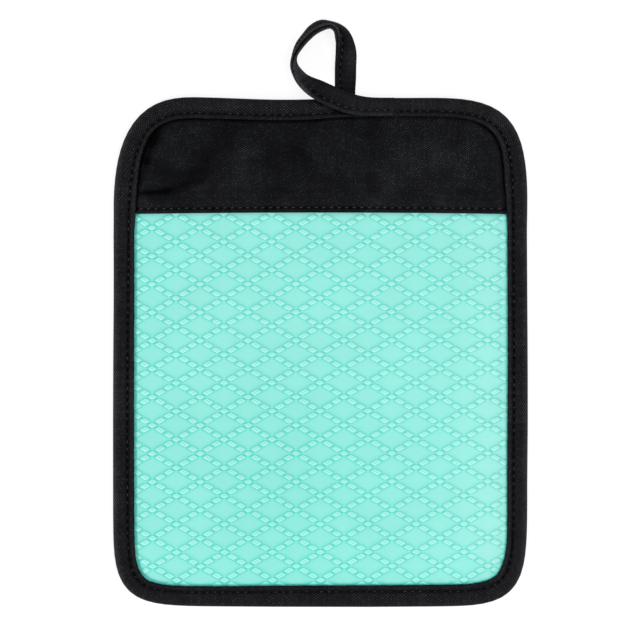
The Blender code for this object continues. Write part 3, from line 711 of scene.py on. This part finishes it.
bindingTape = {
    "height": 6.3, "nose": 2.2, "noseSteps": 14, "crown": 0.14,
    "beforeSeam": (1.25, (0.2, 0.4, 0.6, 0.8, 1)),  # ends this far before it, in these shares
    "seamSteps": (-1, -0.75, -0.52, -0.34, -0.17, 0, 0.17, 0.34, 0.52, 0.75), "lipBack": 0.85,
    "seamDepth": 0.5,
    "lipRise": (0.16, 1.5, 0.8),  # height, past the seam, half width
    "dip": (0.45, 0.18, 19, 2),  # at each stitch; then amount, length and seed of a slow change
    "widthWaves": (0.03, 0.07, 11, 4),
    "puckers": ((0.05, -1, 1.2), (0.04, 1.3, 0.7)),  # between stitches: height, past the seam, half width
    "drag": (1.4, 0.05, 6.2, 8),  # slant, height, length and seed of the waves across the tape
    "gathers": (0.03, 0.07, 0.9, 4.3),  # at the corners: in the fold, on the face, slant, length
    "gathersFrom": (0.004, 0.022),  # turn of the edge to the mm
    "turnSpan": (6, 6.6),  # stations to each side, and mm in all
    "lipRadius": 0.55, "lipTurns": (72, -90, 7), "lipWaves": (0.05, 8, 5),
    "inside": ((1.8, 5.2), (1.1, 4.1), (1.1, 2.2), (1.8, 1.1)),  # inset, height
    "insideSeam": 0.3, "backWidth": (9, 0.15, 14, 9), "backTurns": (90, -90, 7), "backSeam": 6.2,
    "backDepth": 0.4, "backSteps": (1, 0.6, 0.34, 0.17, 0, -0.17, -0.34, -0.6, -1),
    "stitchPitch": 3.3, "stationsPerStitch": 6,
    "threadDeep": (0.36, 0.24),  # below the top in front, above the floor behind
    "run": (  # along the edge anticlockwise from the right: width on the front, seam from the edge,
        # and how far the folded edge stands out beyond the solid's
        (0, 8.65, 5.95, 0), (8, 8.9, 5.95, 0.15), (15, 9.1, 6, 0.25), (22, 9.55, 6.1, 0.25),
        (27, 9.2, 6, 0.2), (32, 9.2, 5.9, 0.15), (38, 8.8, 5.9, 0.12), (50, 8.7, 6.1, 0.05),
        (60, 8.6, 6.2, -0.05), (75, 8.2, 6.1, -0.1), (95, 8.1, 6, -0.2), (110, 8.2, 6, -0.15),
        (125, 8.2, 6.2, 0), (140, 8.95, 6.6, 0), (155, 9.05, 6.8, -0.05), (180, 9.2, 6.9, -0.05),
        (205, 9.2, 6.9, 0), (217, 8.9, 6.9, 0), (228, 9.4, 7.2, 0), (243, 10, 7.2, -0.05),
        (252, 9.9, 7, -0.05), (260, 9.8, 6.7, -0.15), (269, 9.18, 6.6, -0.05), (300, 9.3, 6.5, -0.15),
        (350, 9.36, 6.4, -0.05), (395, 9.5, 6.5, -0.12), (412, 9.18, 6.4, 0), (421, 9.15, 6.2, 0.05),
        (431, 8.5, 5.8, 0.2), (445, 8.5, 5.9, 0.25), (470, 8.55, 5.9, 0.45), (490, 8.8, 6, 0.55),
        (530, 9, 6.3, 0.55), (565, 9.28, 6.4, 0.3), (590, 9.02, 6.1, 0.42), (600, 8.8, 5.7, 0.42),
        (611, 8.4, 5.6, 0.32), (640, 8.65, 5.8, 0.22), (665, 8.65, 5.8, 0.3), (700, 8.5, 5.8, 0.22),
        (730, 8.57, 5.85, 0.1),
    ),
    "sunkFrom": (31.5, 27),  # the tape below the loop's start lies lower between these x
    "sunkTo": (22, 9), "sunkDepth": 1,
    "paintedShadingAndTone": {
        "seam": ((-0.45, 0.2, 0.75), (-0.15, 0, 1.4)),  # painted shade in the seam: amount, past the seam, half width
        "hole": (0.9, 0.4, 0.3),  # painted shade in the needle holes: amount, half width, share of it left along the top and bottom
        "holeUneven": (0.75, 0.6, 0.83),
        "lip": (0.65, 1, 0.7, 0.1),  # painted highlight on the lip, lit from the sides: amount, before the lip, half width, share of it left there
        # fold: painted highlight on the rounded outer edge at the sides; topFace: lighter outer edge
        # along the top
        "fold": (1.9, 3), "topFace": (0.15, 5),
    },
    "shade": (  # where the loop shades it: x from, y from, x to, y to, half width, amount
        (-4.6, 109.6, 0.6, 107.5, 0.75, 0.85), (0.6, 107.5, 7.2, 104.4, 0.75, 0.85),
        (7.2, 104.4, 15, 102.1, 0.6, 0.75),
    ),
}


def tapeRun(along):
    at, *columns = np.array(bindingTape["run"]).T
    return [np.interp(along, at, column, period=edgeLength) for column in columns]


def lipAt(x, y):  # inset of the tape's lip beside each point
    return tapeRun(nearestEdge(x, y)[0] * outline["pitch"])[0]


def tapeStations():  # even steps of the seam: where each lies among the edge's points
    seam = tapeRun(np.arange(len(edge)) * outline["pitch"])[1]
    reached = around(edge + edgeInward * seam[:, None])[1]
    count = round(reached[-1] / bindingTape["stitchPitch"]) * bindingTape["stationsPerStitch"]
    return np.interp(np.arange(count) * reached[-1] / count, reached, np.arange(len(edge) + 1))


def readRing(values, places):  # points of a ring, read between them
    low = np.floor(places).astype(int)
    share = (places - low)[:, None]
    return values[low % len(values)] * (1 - share) + values[(low + 1) % len(values)] * share


def seamGroove(away, narrow=0.38):  # 1 at the thread, narrow within a wider hollow
    return 0.7 * bump(away, 0, narrow) + 0.3 * bump(away, 0, 0.95)


def loftTape(name, sections, along, material):  # closed where along has a value more than the sections
    stations, sides = sections.shape[:2]
    index = np.arange(stations * sides).reshape(stations, sides)
    closed = len(along) > stations
    faces = corners(np.pad(index, ((0, closed), (0, 1)), mode="wrap")).tolist()
    grids = np.meshgrid(along, around(sections[0])[1], indexing="ij")
    uvs = np.stack([corners(grid) for grid in grids], axis=-1).reshape(-1, 2)
    if not closed:
        faces += [index[0].tolist(), index[-1][::-1].tolist()]
        uvs = np.vstack((uvs, np.zeros((2 * sides, 2))))
    return makePiece(name, sections.reshape(-1, 3), faces, material, uvs)


def tapeSection(width, seam, corner, dip, phase, along):  # insets and heights of all stations
    tape = bindingTape
    top, nose, lip = tape["height"], tape["nose"], tape["lipRadius"]
    inFold, onFace, slant, length = tape["gathers"]
    turns = np.radians(np.linspace(-90, 90, tape["noseSteps"] + 1))
    gather = inFold * corner * np.sin(2 * np.pi * along / length) * np.cos(turns) ** 2
    parts = [(nose * (1 - np.cos(turns)) + gather, top / 2 + top / 2 * np.sin(turns))]
    before, shares = tape["beforeSeam"]
    insets = [nose + (seam - before - nose) * share for share in shares]
    insets += [seam + step for step in tape["seamSteps"]]
    insets += [(insets[-1] + width - tape["lipBack"]) / 2, width - tape["lipBack"]]
    inset = np.hstack(insets)
    height = top + tape["crown"] * np.sin(np.pi * np.clip((inset - nose) / (seam - nose), 0, 1))
    height = height - tape["seamDepth"] * dip * seamGroove(inset - seam)
    height += ridges(inset, seam, tape["lipRise"])
    height -= np.cos(phase) * ridges(inset, seam, *tape["puckers"])
    height += onFace * corner * np.sin(2 * np.pi * (along + slant * inset) / length)
    slant, *waves = tape["drag"]
    parts.append((inset, height + wander(along + slant * inset, *waves)))
    turns = np.radians(np.linspace(*tape["lipTurns"]))
    lipTop = top - lip + wander(along, *tape["lipWaves"])
    parts.append((width - lip + lip * np.cos(turns), lipTop + lip * np.sin(turns)))
    parts.append((seam + tape["insideSeam"], tape["inside"][0][1]))
    parts.append(np.array(tape["inside"]).T)
    back, *waves = tape["backWidth"]
    turns = np.radians(np.linspace(*tape["backTurns"]))
    back = back + wander(along, *waves)
    parts.append((back - lip + lip * np.cos(turns), lip + lip * np.sin(turns)))
    steps = np.array(tape["backSteps"])
    parts.append((tape["backSeam"] + steps, tape["backDepth"] * dip * seamGroove(steps)))
    parts.append((nose + 2.0, 0.0))
    grids = [np.broadcast_arrays(inset, height, along)[:2] for inset, height in parts]
    return [np.hstack([grid[i] for grid in grids]) for i in (0, 1)]


def tapeShading(inset, width, seam, phase, inward, flat):
    # Painted shade in the seam, its holes and where the loop lies over the tape; painted highlights on
    # the lip and on the outer edge at the sides.
    shadingTable = bindingTape["paintedShadingAndTone"]
    sideways = inward[:, :1] ** 2
    paintedShadingAndTone = ridges(inset, seam, *shadingTable["seam"])
    amount, half, least = shadingTable["hole"]  # painted shade: the needle's holes are near black
    middle, swing, rate = shadingTable["holeUneven"]
    stitchNo = np.arange(len(inset)) // bindingTape["stationsPerStitch"]
    uneven = middle + swing * np.array([noise.noise((rate * number, 5.0, 3.0)) for number in stitchNo])
    hole = needleHole(phase) * uneven[:, None] * (least + (1 - least) * sideways)
    paintedShadingAndTone -= amount * hole.clip(0) * bump(inset, seam, half)
    amount, before, half, least = shadingTable["lip"]
    paintedShadingAndTone += amount * bump(inset, width - before, half) * (least + (1 - least) * sideways)
    amount, until = shadingTable["fold"]
    paintedShadingAndTone += amount * (1 - softStep(inset, 0, until)) * sideways
    amount, until = shadingTable["topFace"]
    paintedShadingAndTone += amount * (inset < until) * (inward[:, 1:] < -0.5)
    return paintedShadingAndTone - creaseDepth(*np.moveaxis(flat, 2, 0), bindingTape["shade"])


def makeBinding():
    tape, every = bindingTape, bindingTape["stationsPerStitch"]
    top, sunk = tape["height"], tape["sunkDepth"]
    places = tapeStations()
    at, inward = readRing(edge, places), readRing(edgeInward, places)
    inward /= np.linalg.norm(inward, axis=1)[:, None]
    span, spanLength = tape["turnSpan"]
    turning = np.linalg.norm(change(inward, span), axis=1)[:, None] / spanLength
    along = (places * outline["pitch"])[:, None]
    width, seam, outward = tapeRun(along)
    phase = 2 * np.pi * np.arange(len(places))[:, None] / every
    dip, widening = [
        size * np.cos(phase) + wander(along, *waves) for size, *waves in (tape["dip"], tape["widthWaves"])
    ]
    corner = softStep(turning, *tape["gathersFrom"])
    width = width + widening
    inset, height = tapeSection(width, seam, corner, 1 + dip, phase, along)
    flat = at[:, None] + inward[:, None] * inset[..., None]
    paintedShadingAndTone = tapeShading(inset, width, seam, phase, inward, flat)
    sinking = softStep(at[:, :1], *tape["sunkFrom"]) * (1 - softStep(at[:, :1], *tape["sunkTo"]))
    sinking = sinking * (at[:, 1:] > 0)
    inset -= outward * (1 - softStep(inset, 0.5, 5.0))
    height -= sunk * sinking * softStep(height, top / 2, top - 1.0)
    flat = at[:, None] + inward[:, None] * inset[..., None]
    sections = np.concatenate((flat, height[..., None]), axis=2)
    piece = loftTape("bindingTape", sections, np.append(along, edgeLength), tapeCotton)
    keepTone(piece, "paintedShadingAndTone", paintedShadingAndTone)
    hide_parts("binding")
    middles = slice(every // 2, None, every)
    seamPoints, backPoints = at + inward * seam, at + inward * tape["backSeam"]
    ahead = change(seamPoints, 2)[middles]
    below, above = tape["threadDeep"]
    front = np.c_[seamPoints, top - below - sunk * sinking][middles]
    shown = sinking[middles, 0] < 0.05
    layStitches("bindingThread", front[shown], ahead[shown], 1)
    layStitches("backThread", np.c_[backPoints, np.full(len(at), above)][middles], ahead, -1)


# Stitches

stitch = {
    "length": 1.7, "thick": 0.38, "flatten": 0.75, "endDip": 0.5, "endSlim": 0.55, "sides": 7,
    "slices": 8, "slant": 9, "stretch": 0.16, "offset": 0.12,
    "seeds": ((0.71, 2, 5), (0.93, 7, 1), (0.57, 4, 9)),  # of slant, stretch and offset
}


def stitchShape():  # a round bar bent down at both ends and drawn thin there, as the thread lies
    length, slices = stitch["length"], stitch["slices"]
    bpy.ops.object.select_all(action="DESELECT")
    bpy.ops.mesh.primitive_cylinder_add(
        vertices=stitch["sides"], radius=stitch["thick"] / 2, depth=length, rotation=(0, math.pi / 2, 0)
    )
    bar = bpy.context.object
    bpy.ops.object.transform_apply(rotation=True)
    bpy.ops.object.mode_set(mode="EDIT")
    for cut in range(1, slices):
        bpy.ops.mesh.select_all(action="SELECT")
        bpy.ops.mesh.bisect(plane_co=(length * (cut / slices - 0.5), 0, 0), plane_no=(1, 0, 0))
    bpy.ops.object.mode_set(mode="OBJECT")
    for vertex in bar.data.vertices:
        end = abs(vertex.co.x) / (length / 2)
        slim = 1 - stitch["endSlim"] * end**4
        vertex.co.y *= slim
        vertex.co.z = vertex.co.z * slim * stitch["flatten"] - stitch["endDip"] * end**3
    points = np.array([tuple(v.co) for v in bar.data.vertices])
    faces = [list(p.vertices) for p in bar.data.polygons]
    bpy.data.objects.remove(bar)
    return points, faces


stitchPoints, stitchFaces = stitchShape()


def placeStitches(name, frames):  # a frame is a middle, and where a stitch's x, y and z point
    points, faces = [], []
    for number, (middle, *axes) in enumerate(frames):
        axes, start = np.array(axes), number * len(stitchPoints)
        points.append(np.array(middle) + stitchPoints @ axes)
        order = 1 if np.linalg.det(axes) > 0 else -1
        faces += [[start + i for i in face[::order]] for face in stitchFaces]
    makePiece(name, np.concatenate(points), faces, blackThread)


def layStitches(name, middles, directions, side):  # side -1 lays them on the back
    frames = []
    for number, (middle, (aheadX, aheadY)) in enumerate(zip(middles, directions)):
        slant, stretch, offset = [noise.noise((number * rate, a, b)) for rate, a, b in stitch["seeds"]]
        turn = math.atan2(aheadY, aheadX) + math.radians(stitch["slant"] * (0.5 + slant))
        cosine, sine = math.cos(turn), math.sin(turn)
        along, across = np.array(((cosine, sine, 0), (-sine, cosine, 0)))
        middle = middle + stitch["offset"] * offset * across
        frames.append((middle, (1 + stitch["stretch"] * stretch) * along, across, (0, 0, side)))
    placeStitches(name, frames)


# Hanging loop

loopTape = {
    "seamFromLip": 2.3,
    "faceBow": (0.05, -0.3, 0.5),  # height, and place and half width as shares of half the tape
    "foldDeep": 0.9, "foldTurns": (15, 91, 15),
    "faceShares": (-0.62, -0.4, -0.15, 0.08),  # points on the face, of half the tape
    "seamSteps": (-0.95, -0.6, -0.36, -0.18, 0, 0.18, 0.36, 0.6, 0.95), "grooveHalf": 0.4,
    "lipBack": 0.35, "lipTurns": (75, 40, 0, -40, -75),
    "slot": (1.02, 1.7, 5.8),  # points on its wall, back from the lip
    "slotOff": (0.6, 0.05, 0.04),  # a share of the lip's height, and heights
    "leastSlot": 0.03, "threadThin": 0.8,
    "threadDeep": 0.7,  # of the seam's depth
    "threadShake": (0.08, 0.6, 3),
    "sewn": (1.2, 3.5),  # from the start, and before the end
    "ripple": (0.05, 0.37, 1, 4), "uvFrom": 91, "mostWrap": 1.7,
    "paintedShadingAndTone": {
        "lip": (0.7, 0.7),  # painted highlight on the lip: amount, half width
        # painted shade on the folded edge
        "fold": (-0.3, 0.7),
        "seam": (0.55, 0.6, 0.6),  # painted shade in the seam: amount, how much less of it on edge, half width
        "shadedLip": 0.8,
        "shade": (0.2, -0.5, 0.6),  # painted light towards the fold, painted shade towards the lips: the light, then from and to as shares
        "slot": 0.2,
        # Painted shade and highlight on the face and lip of the inner and the outer side where the tape
        # stands on its edge.
        "onEdge": ((0, 4.2), (-0.65, 4.8)), "limits": (-0.9, 1.5),
    },
    "innerLonger": 0.6,
    "steps": 7,  # stations to each row
    "route": (
        # x, y, lift off the surface, roll, width, thickness, rounding of the outer edge as the
        # binding has it, how far the lips stand apart, depth of the seam, painted shade (below 0) and
        # painted light (above 0) on the faces, and how much painted shade darkens their half with the
        # lips
        (32.6, 106.6, 5.32, 0, 7.7, 1, 1, 0.05, 0.45, 0, 0),
        (21.7, 106.6, 5.75, 0, 8, 1.5, 0.9, 0.08, 0.45, 0, 0),
        (13.5, 107.7, 6.45, 0, 8.7, 2, 0.5, 0.12, 0.45, -0.1, 0),
        (6.5, 110.3, 6.7, 2, 8.9, 2.1, 0.15, 0.2, 0.4, -0.33, 0),
        (0.4, 113.1, 6.2, 12, 8.9, 2.2, 0, 0.35, 0.35, -0.48, 0),
        (-4.9, 116.3, 3.2, 42, 8.9, 2.3, 0, 0.15, 0.3, -0.05, 0),
        (-8.4, 119.5, 1.2, 62, 8.9, 2.4, 0, 0.2, 0.3, 0.8, 0),
        (-10.7, 123.3, 0.4, 76, 8.9, 2.4, 0, 0.45, 0.3, 1.1, 0),
        (-11.3, 126.5, 0.1, 87, 8.9, 2.4, 0, 0.8, 0.3, 0.6, 0),
        (-10.8, 129.3, 0.1, 92, 8.9, 2.6, 0, 1, 0.3, 0, 0),
        (-8.95, 133.1, 0.1, 98, 8.9, 2.95, 0, 1.2, 0.3, 0, 0),
        (-5.95, 136.95, 0.1, 102, 8.9, 3, 0, 1.2, 0.3, 0, 0),
        (-2.75, 140.15, 0.1, 108, 8.9, 2.9, 0, 1.05, 0.3, 0, 0),
        (0.9, 141.95, 0.1, 108, 8.9, 2.9, 0, 0.9, 0.3, 0, 0),
        (4.65, 142.05, 0.1, 100, 8.9, 2.5, 0, 0.6, 0.35, 0.2, 0.1),
        (7.55, 140.7, 0.1, 108, 8.9, 2.4, 0, 0.55, 0.45, 0.1, 0.4),
        (9.5, 138.1, 0.1, 126, 8.9, 2.5, 0, 0.55, 0.45, 0.1, 0.65),
        (10.85, 134.6, 0.1, 143, 8.9, 2.3, 0, 0.55, 0.55, 0.1, 0.65),
        (11.4, 129.9, 0.1, 161, 9.3, 2.2, 0, 0.45, 0.55, 0, 0.6),
        (11.15, 124.4, 0.1, 175, 9.3, 2.1, 0, 0.35, 0.5, -0.1, 0.5),
        (11.05, 119, 0.2, 180, 9.3, 2, 0, 0.3, 0.45, -0.1, 0.1),
        (10.9, 114.2, 1.4, 180, 9, 2, 0, 0.25, 0.4, -0.4, 0),
        (10.8, 109.6, 2.1, 180, 9, 2, 0, 0.25, 0.4, -0.6, 0),
    ),
}


def blendRows(rows, index, share):  # a smooth curve through the rows, read between two of them
    a, b, c, d = rows[np.clip(np.arange(index - 1, index + 3), 0, len(rows) - 1)]
    bend = (2 * a - 5 * b + 4 * c - d) * share + (3 * b - a - 3 * c + d) * share**2
    return b + 0.5 * share * (c - a + bend)


def loopSection(width, thickness, wrap, lipsApart, seamDepth, faceShading, lipShade, turn):  # points, tones
    tape, shadingTable = loopTape, loopTape["paintedShadingAndTone"]
    onEdge, turnedOver = math.sin(turn) ** 2, max(0.0, -math.cos(turn))
    half, thick = width / 2, thickness / 2
    radius = (thick - lipsApart / 2) / 2
    seam = half - tape["seamFromLip"]
    rise, place, wide = tape["faceBow"]

    def skin(along):  # how far the outside stands off the middle
        groove = seamGroove(along - seam, tape["grooveHalf"])
        return thick + rise * bump(along, place * half, wide * half) - seamDepth * groove

    fold, lip = np.radians(np.arange(*tape["foldTurns"])), np.radians(tape["lipTurns"])
    face = [share * half for share in tape["faceShares"]] + [seam + step for step in tape["seamSteps"]]
    face = np.array([*face, half - radius - tape["lipBack"]])
    outer, slot = skin(half), np.array(tape["slot"])
    share, *offs = tape["slotOff"]
    offs = (share * max(tape["leastSlot"], outer - 2 * radius), *offs)
    bend, middle = -half + tape["foldDeep"] * (1 - np.cos(fold)), half - radius
    along = np.hstack((bend, face, middle + radius * np.cos(lip), half - slot))
    off = np.hstack((skin(-half) * np.sin(fold), skin(face), outer - radius + radius * np.sin(lip), offs))
    foldTone, foldHalf = shadingTable["fold"]
    tones = []  # painted shade and light of the two faces
    for edgeFace, edgeLip in shadingTable["onEdge"]:
        amount, lipHalf = shadingTable["lip"]
        amount = amount * (1 - turnedOver) + (edgeLip - amount) * onEdge
        tone = faceShading + edgeFace * onEdge
        tone = tone + amount * (1 - shadingTable["shadedLip"] * lipShade) * bump(along, half, lipHalf)
        lighter, start, end = shadingTable["shade"]
        tone += lipShade * (lighter - softStep(along, start * half, end * seam))
        amount, less, seamHalf = shadingTable["seam"]
        tone -= amount * (1 - less * onEdge) * bump(along, seam, seamHalf)
        tone += foldTone * bump(along, -half, foldHalf)
        tone[-len(slot) :] = shadingTable["slot"]
        tones.append(tone)
    longer = tape["innerLonger"] * onEdge * ((along - seam) / (half - seam)).clip(0)
    across = np.hstack(([-half], along + longer, along[::-1]))
    # The binding's rounded edge is carried on over the outer side of the tape.
    fromEdge = ((across + half) / bindingTape["nose"]).clip(0, 1)
    fallen = bindingTape["height"] / 2 * (1 - np.sqrt(1 - (1 - fromEdge) ** 2))
    up = np.hstack(([0], off, -off[::-1])) - wrap * fallen.clip(0, tape["mostWrap"])
    return np.column_stack((across, up)), np.hstack(([foldTone], tones[0], tones[1][::-1]))


def makeHangingLoop():
    tape, route = loopTape, np.array(loopTape["route"])
    steps = tape["steps"]
    stations = [blendRows(route, i, s / steps) for i in range(len(route) - 1) for s in range(steps)]
    stations.append(route[-1])
    middles = []
    for x, y, lift, roll, width, thickness, *_ in stations:
        sine, cosine = abs(math.sin(math.radians(roll))), abs(math.cos(math.radians(roll)))
        middles.append(Vector((x, y, lift + width / 2 * sine + thickness / 2 * cosine)))
    reached = np.cumsum([0, *[(b - a).length for a, b in zip(middles, middles[1:])]])
    sections, paintedShadingAndTone, frames = [], [], []
    size, rate, *seeds = tape["ripple"]
    for i, (middle, station) in enumerate(zip(middles, stations)):
        turn, (width, thickness, _, _, seamDepth, *_) = math.radians(station[3]), station[4:]
        forward = (middles[min(i + 1, len(middles) - 1)] - middles[max(i - 1, 0)]).normalized()
        left = Vector((0, 0, 1)).cross(forward).normalized()
        up = forward.cross(left)
        toLip = left * math.cos(turn) + up * math.sin(turn)
        toFront = up * math.cos(turn) - left * math.sin(turn)
        section, tones = loopSection(*station[4:], turn)
        section[:, 1] += size * noise.noise((i * rate, *seeds))
        paintedShadingAndTone.append(tones)
        sections.append(np.array(middle) + section @ np.array((toLip, toFront)))
        seam, off = width / 2 - tape["seamFromLip"], thickness / 2 - tape["threadDeep"] * seamDepth
        frames.append((middle, forward, toLip, toFront, seam, off))
    piece = loftTape("hangingLoop", np.array(sections), reached + tape["uvFrom"], loopCotton)
    keepTone(piece, "paintedShadingAndTone", np.clip(paintedShadingAndTone, *tape["paintedShadingAndTone"]["limits"]))
    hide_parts("hanging_loop")
    sewLoop(frames, reached)


def sewLoop(frames, reached):  # stitches on both faces of the loop's seam
    tape, stitches = loopTape, []
    start, end = tape["sewn"]
    size, rate, seed = tape["threadShake"]
    for number, distance in enumerate(np.arange(start, reached[-1] - end, bindingTape["stitchPitch"])):
        i = int(np.searchsorted(reached, distance)) - 1
        share = (distance - reached[i]) / (reached[i + 1] - reached[i])
        middle, forward, toLip, toFront, seam, off = frames[i]
        middle, off = middle.lerp(frames[i + 1][0], share), off + (frames[i + 1][5] - off) * share
        for side in (1, -1):
            shake = size * noise.noise((number * rate, seed, side))
            thin = side * tape["threadThin"]
            base = middle + toLip * (seam + shake) + toFront * (side * off)
            stitches.append((base, forward, toLip * thin, toFront * thin))
    placeStitches("loopThread", stitches)


def sewHem():
    cloth = topPanelCloth
    reach, least, deep = cloth["sewn"]
    x = np.arange(-reach, reach + 0.1, cloth["stitchPitch"]) + cloth["stitchPitch"] / 2
    y = hemAt(x) + cloth["hemSeam"]
    inset = insetAt(x, y)
    height = backOver(x, y, inset) + layers["gap"] * 2 + layers["silicone"] + layers["cotton"]
    height += cloth["overSilicone"] + cloth["hemThicker"] - deep
    keep = (inset > least) & (np.abs(x) < reach + 1.8)
    layStitches("hemThread", np.c_[x, y, height][keep], np.tile((1.0, 0.0), (keep.sum(), 1)), 1)


print("making the pieces")
makeBackPanel()
makeSiliconePanel()
makeTopPanel()
makeBinding()
makeHangingLoop()
sewHem()

# Floor, light and camera

studio = {
    "floorSize": 4, "floorDown": 0.00005,
    "floor": {
        "Base Color": (0.22, 0.22, 0.22, 1), "Roughness": 0.9, "Specular IOR Level": 0.1,
        "Emission Color": (1, 1, 1, 1), "Emission Strength": 0.84,
    },
    "sky": {"Color": (1, 1, 1, 1), "Strength": 0.37},
    "lamps": (  # name, x, y, z in metres, size, power
        ("keyLamp", -2.2, -1.35, 1.5, 0.6, 46), ("fillLamp", 0.85, -0.3, 1.6, 1, 15.5),
        ("topLamp", 0.1, 0.3, 1.9, 1.1, 3),
    ),
}
photoView = {"width": 277.95, "lens": 300, "sensor": 36, "centre": (0, 13.9), "height": 3.15}


def buildStudio():
    bpy.ops.object.select_all(action="DESELECT")
    bpy.ops.mesh.primitive_plane_add(size=studio["floorSize"], location=(0, 0, -studio["floorDown"]))
    floor = bpy.context.object
    floor.name = "studioFloor"
    floor.data.materials.append(startMaterial("paleFloor", studio["floor"])[0])
    world = bpy.data.worlds.new("studio")
    world.use_nodes = True
    for label, value in studio["sky"].items():
        world.node_tree.nodes["Background"].inputs[label].default_value = value
    bpy.context.scene.world = world
    for name, x, y, z, size, power in studio["lamps"]:
        bpy.ops.object.light_add(type="AREA", location=(x, y, z))
        lamp = bpy.context.object
        lamp.name = name
        lamp.data.size = size
        lamp.data.energy = power
        lamp.rotation_euler = (-Vector((x, y, z))).to_track_quat("-Z", "Y").to_euler()
    bpy.context.scene.view_settings.view_transform = "Standard"


def buildCamera():
    distance = photoView["width"] * photoView["lens"] / photoView["sensor"]
    x, y = photoView["centre"]
    place = (x * mm, y * mm, (distance + photoView["height"]) * mm)
    bpy.ops.object.camera_add(location=place, rotation=(0, 0, 0))
    camera = bpy.context.object
    camera.name = "photoCamera"
    camera.data.lens = photoView["lens"]
    camera.data.sensor_width = photoView["sensor"]
    camera.data.clip_end = 20
    bpy.context.scene.camera = camera


buildStudio()
buildCamera()
print("studio and camera placed")
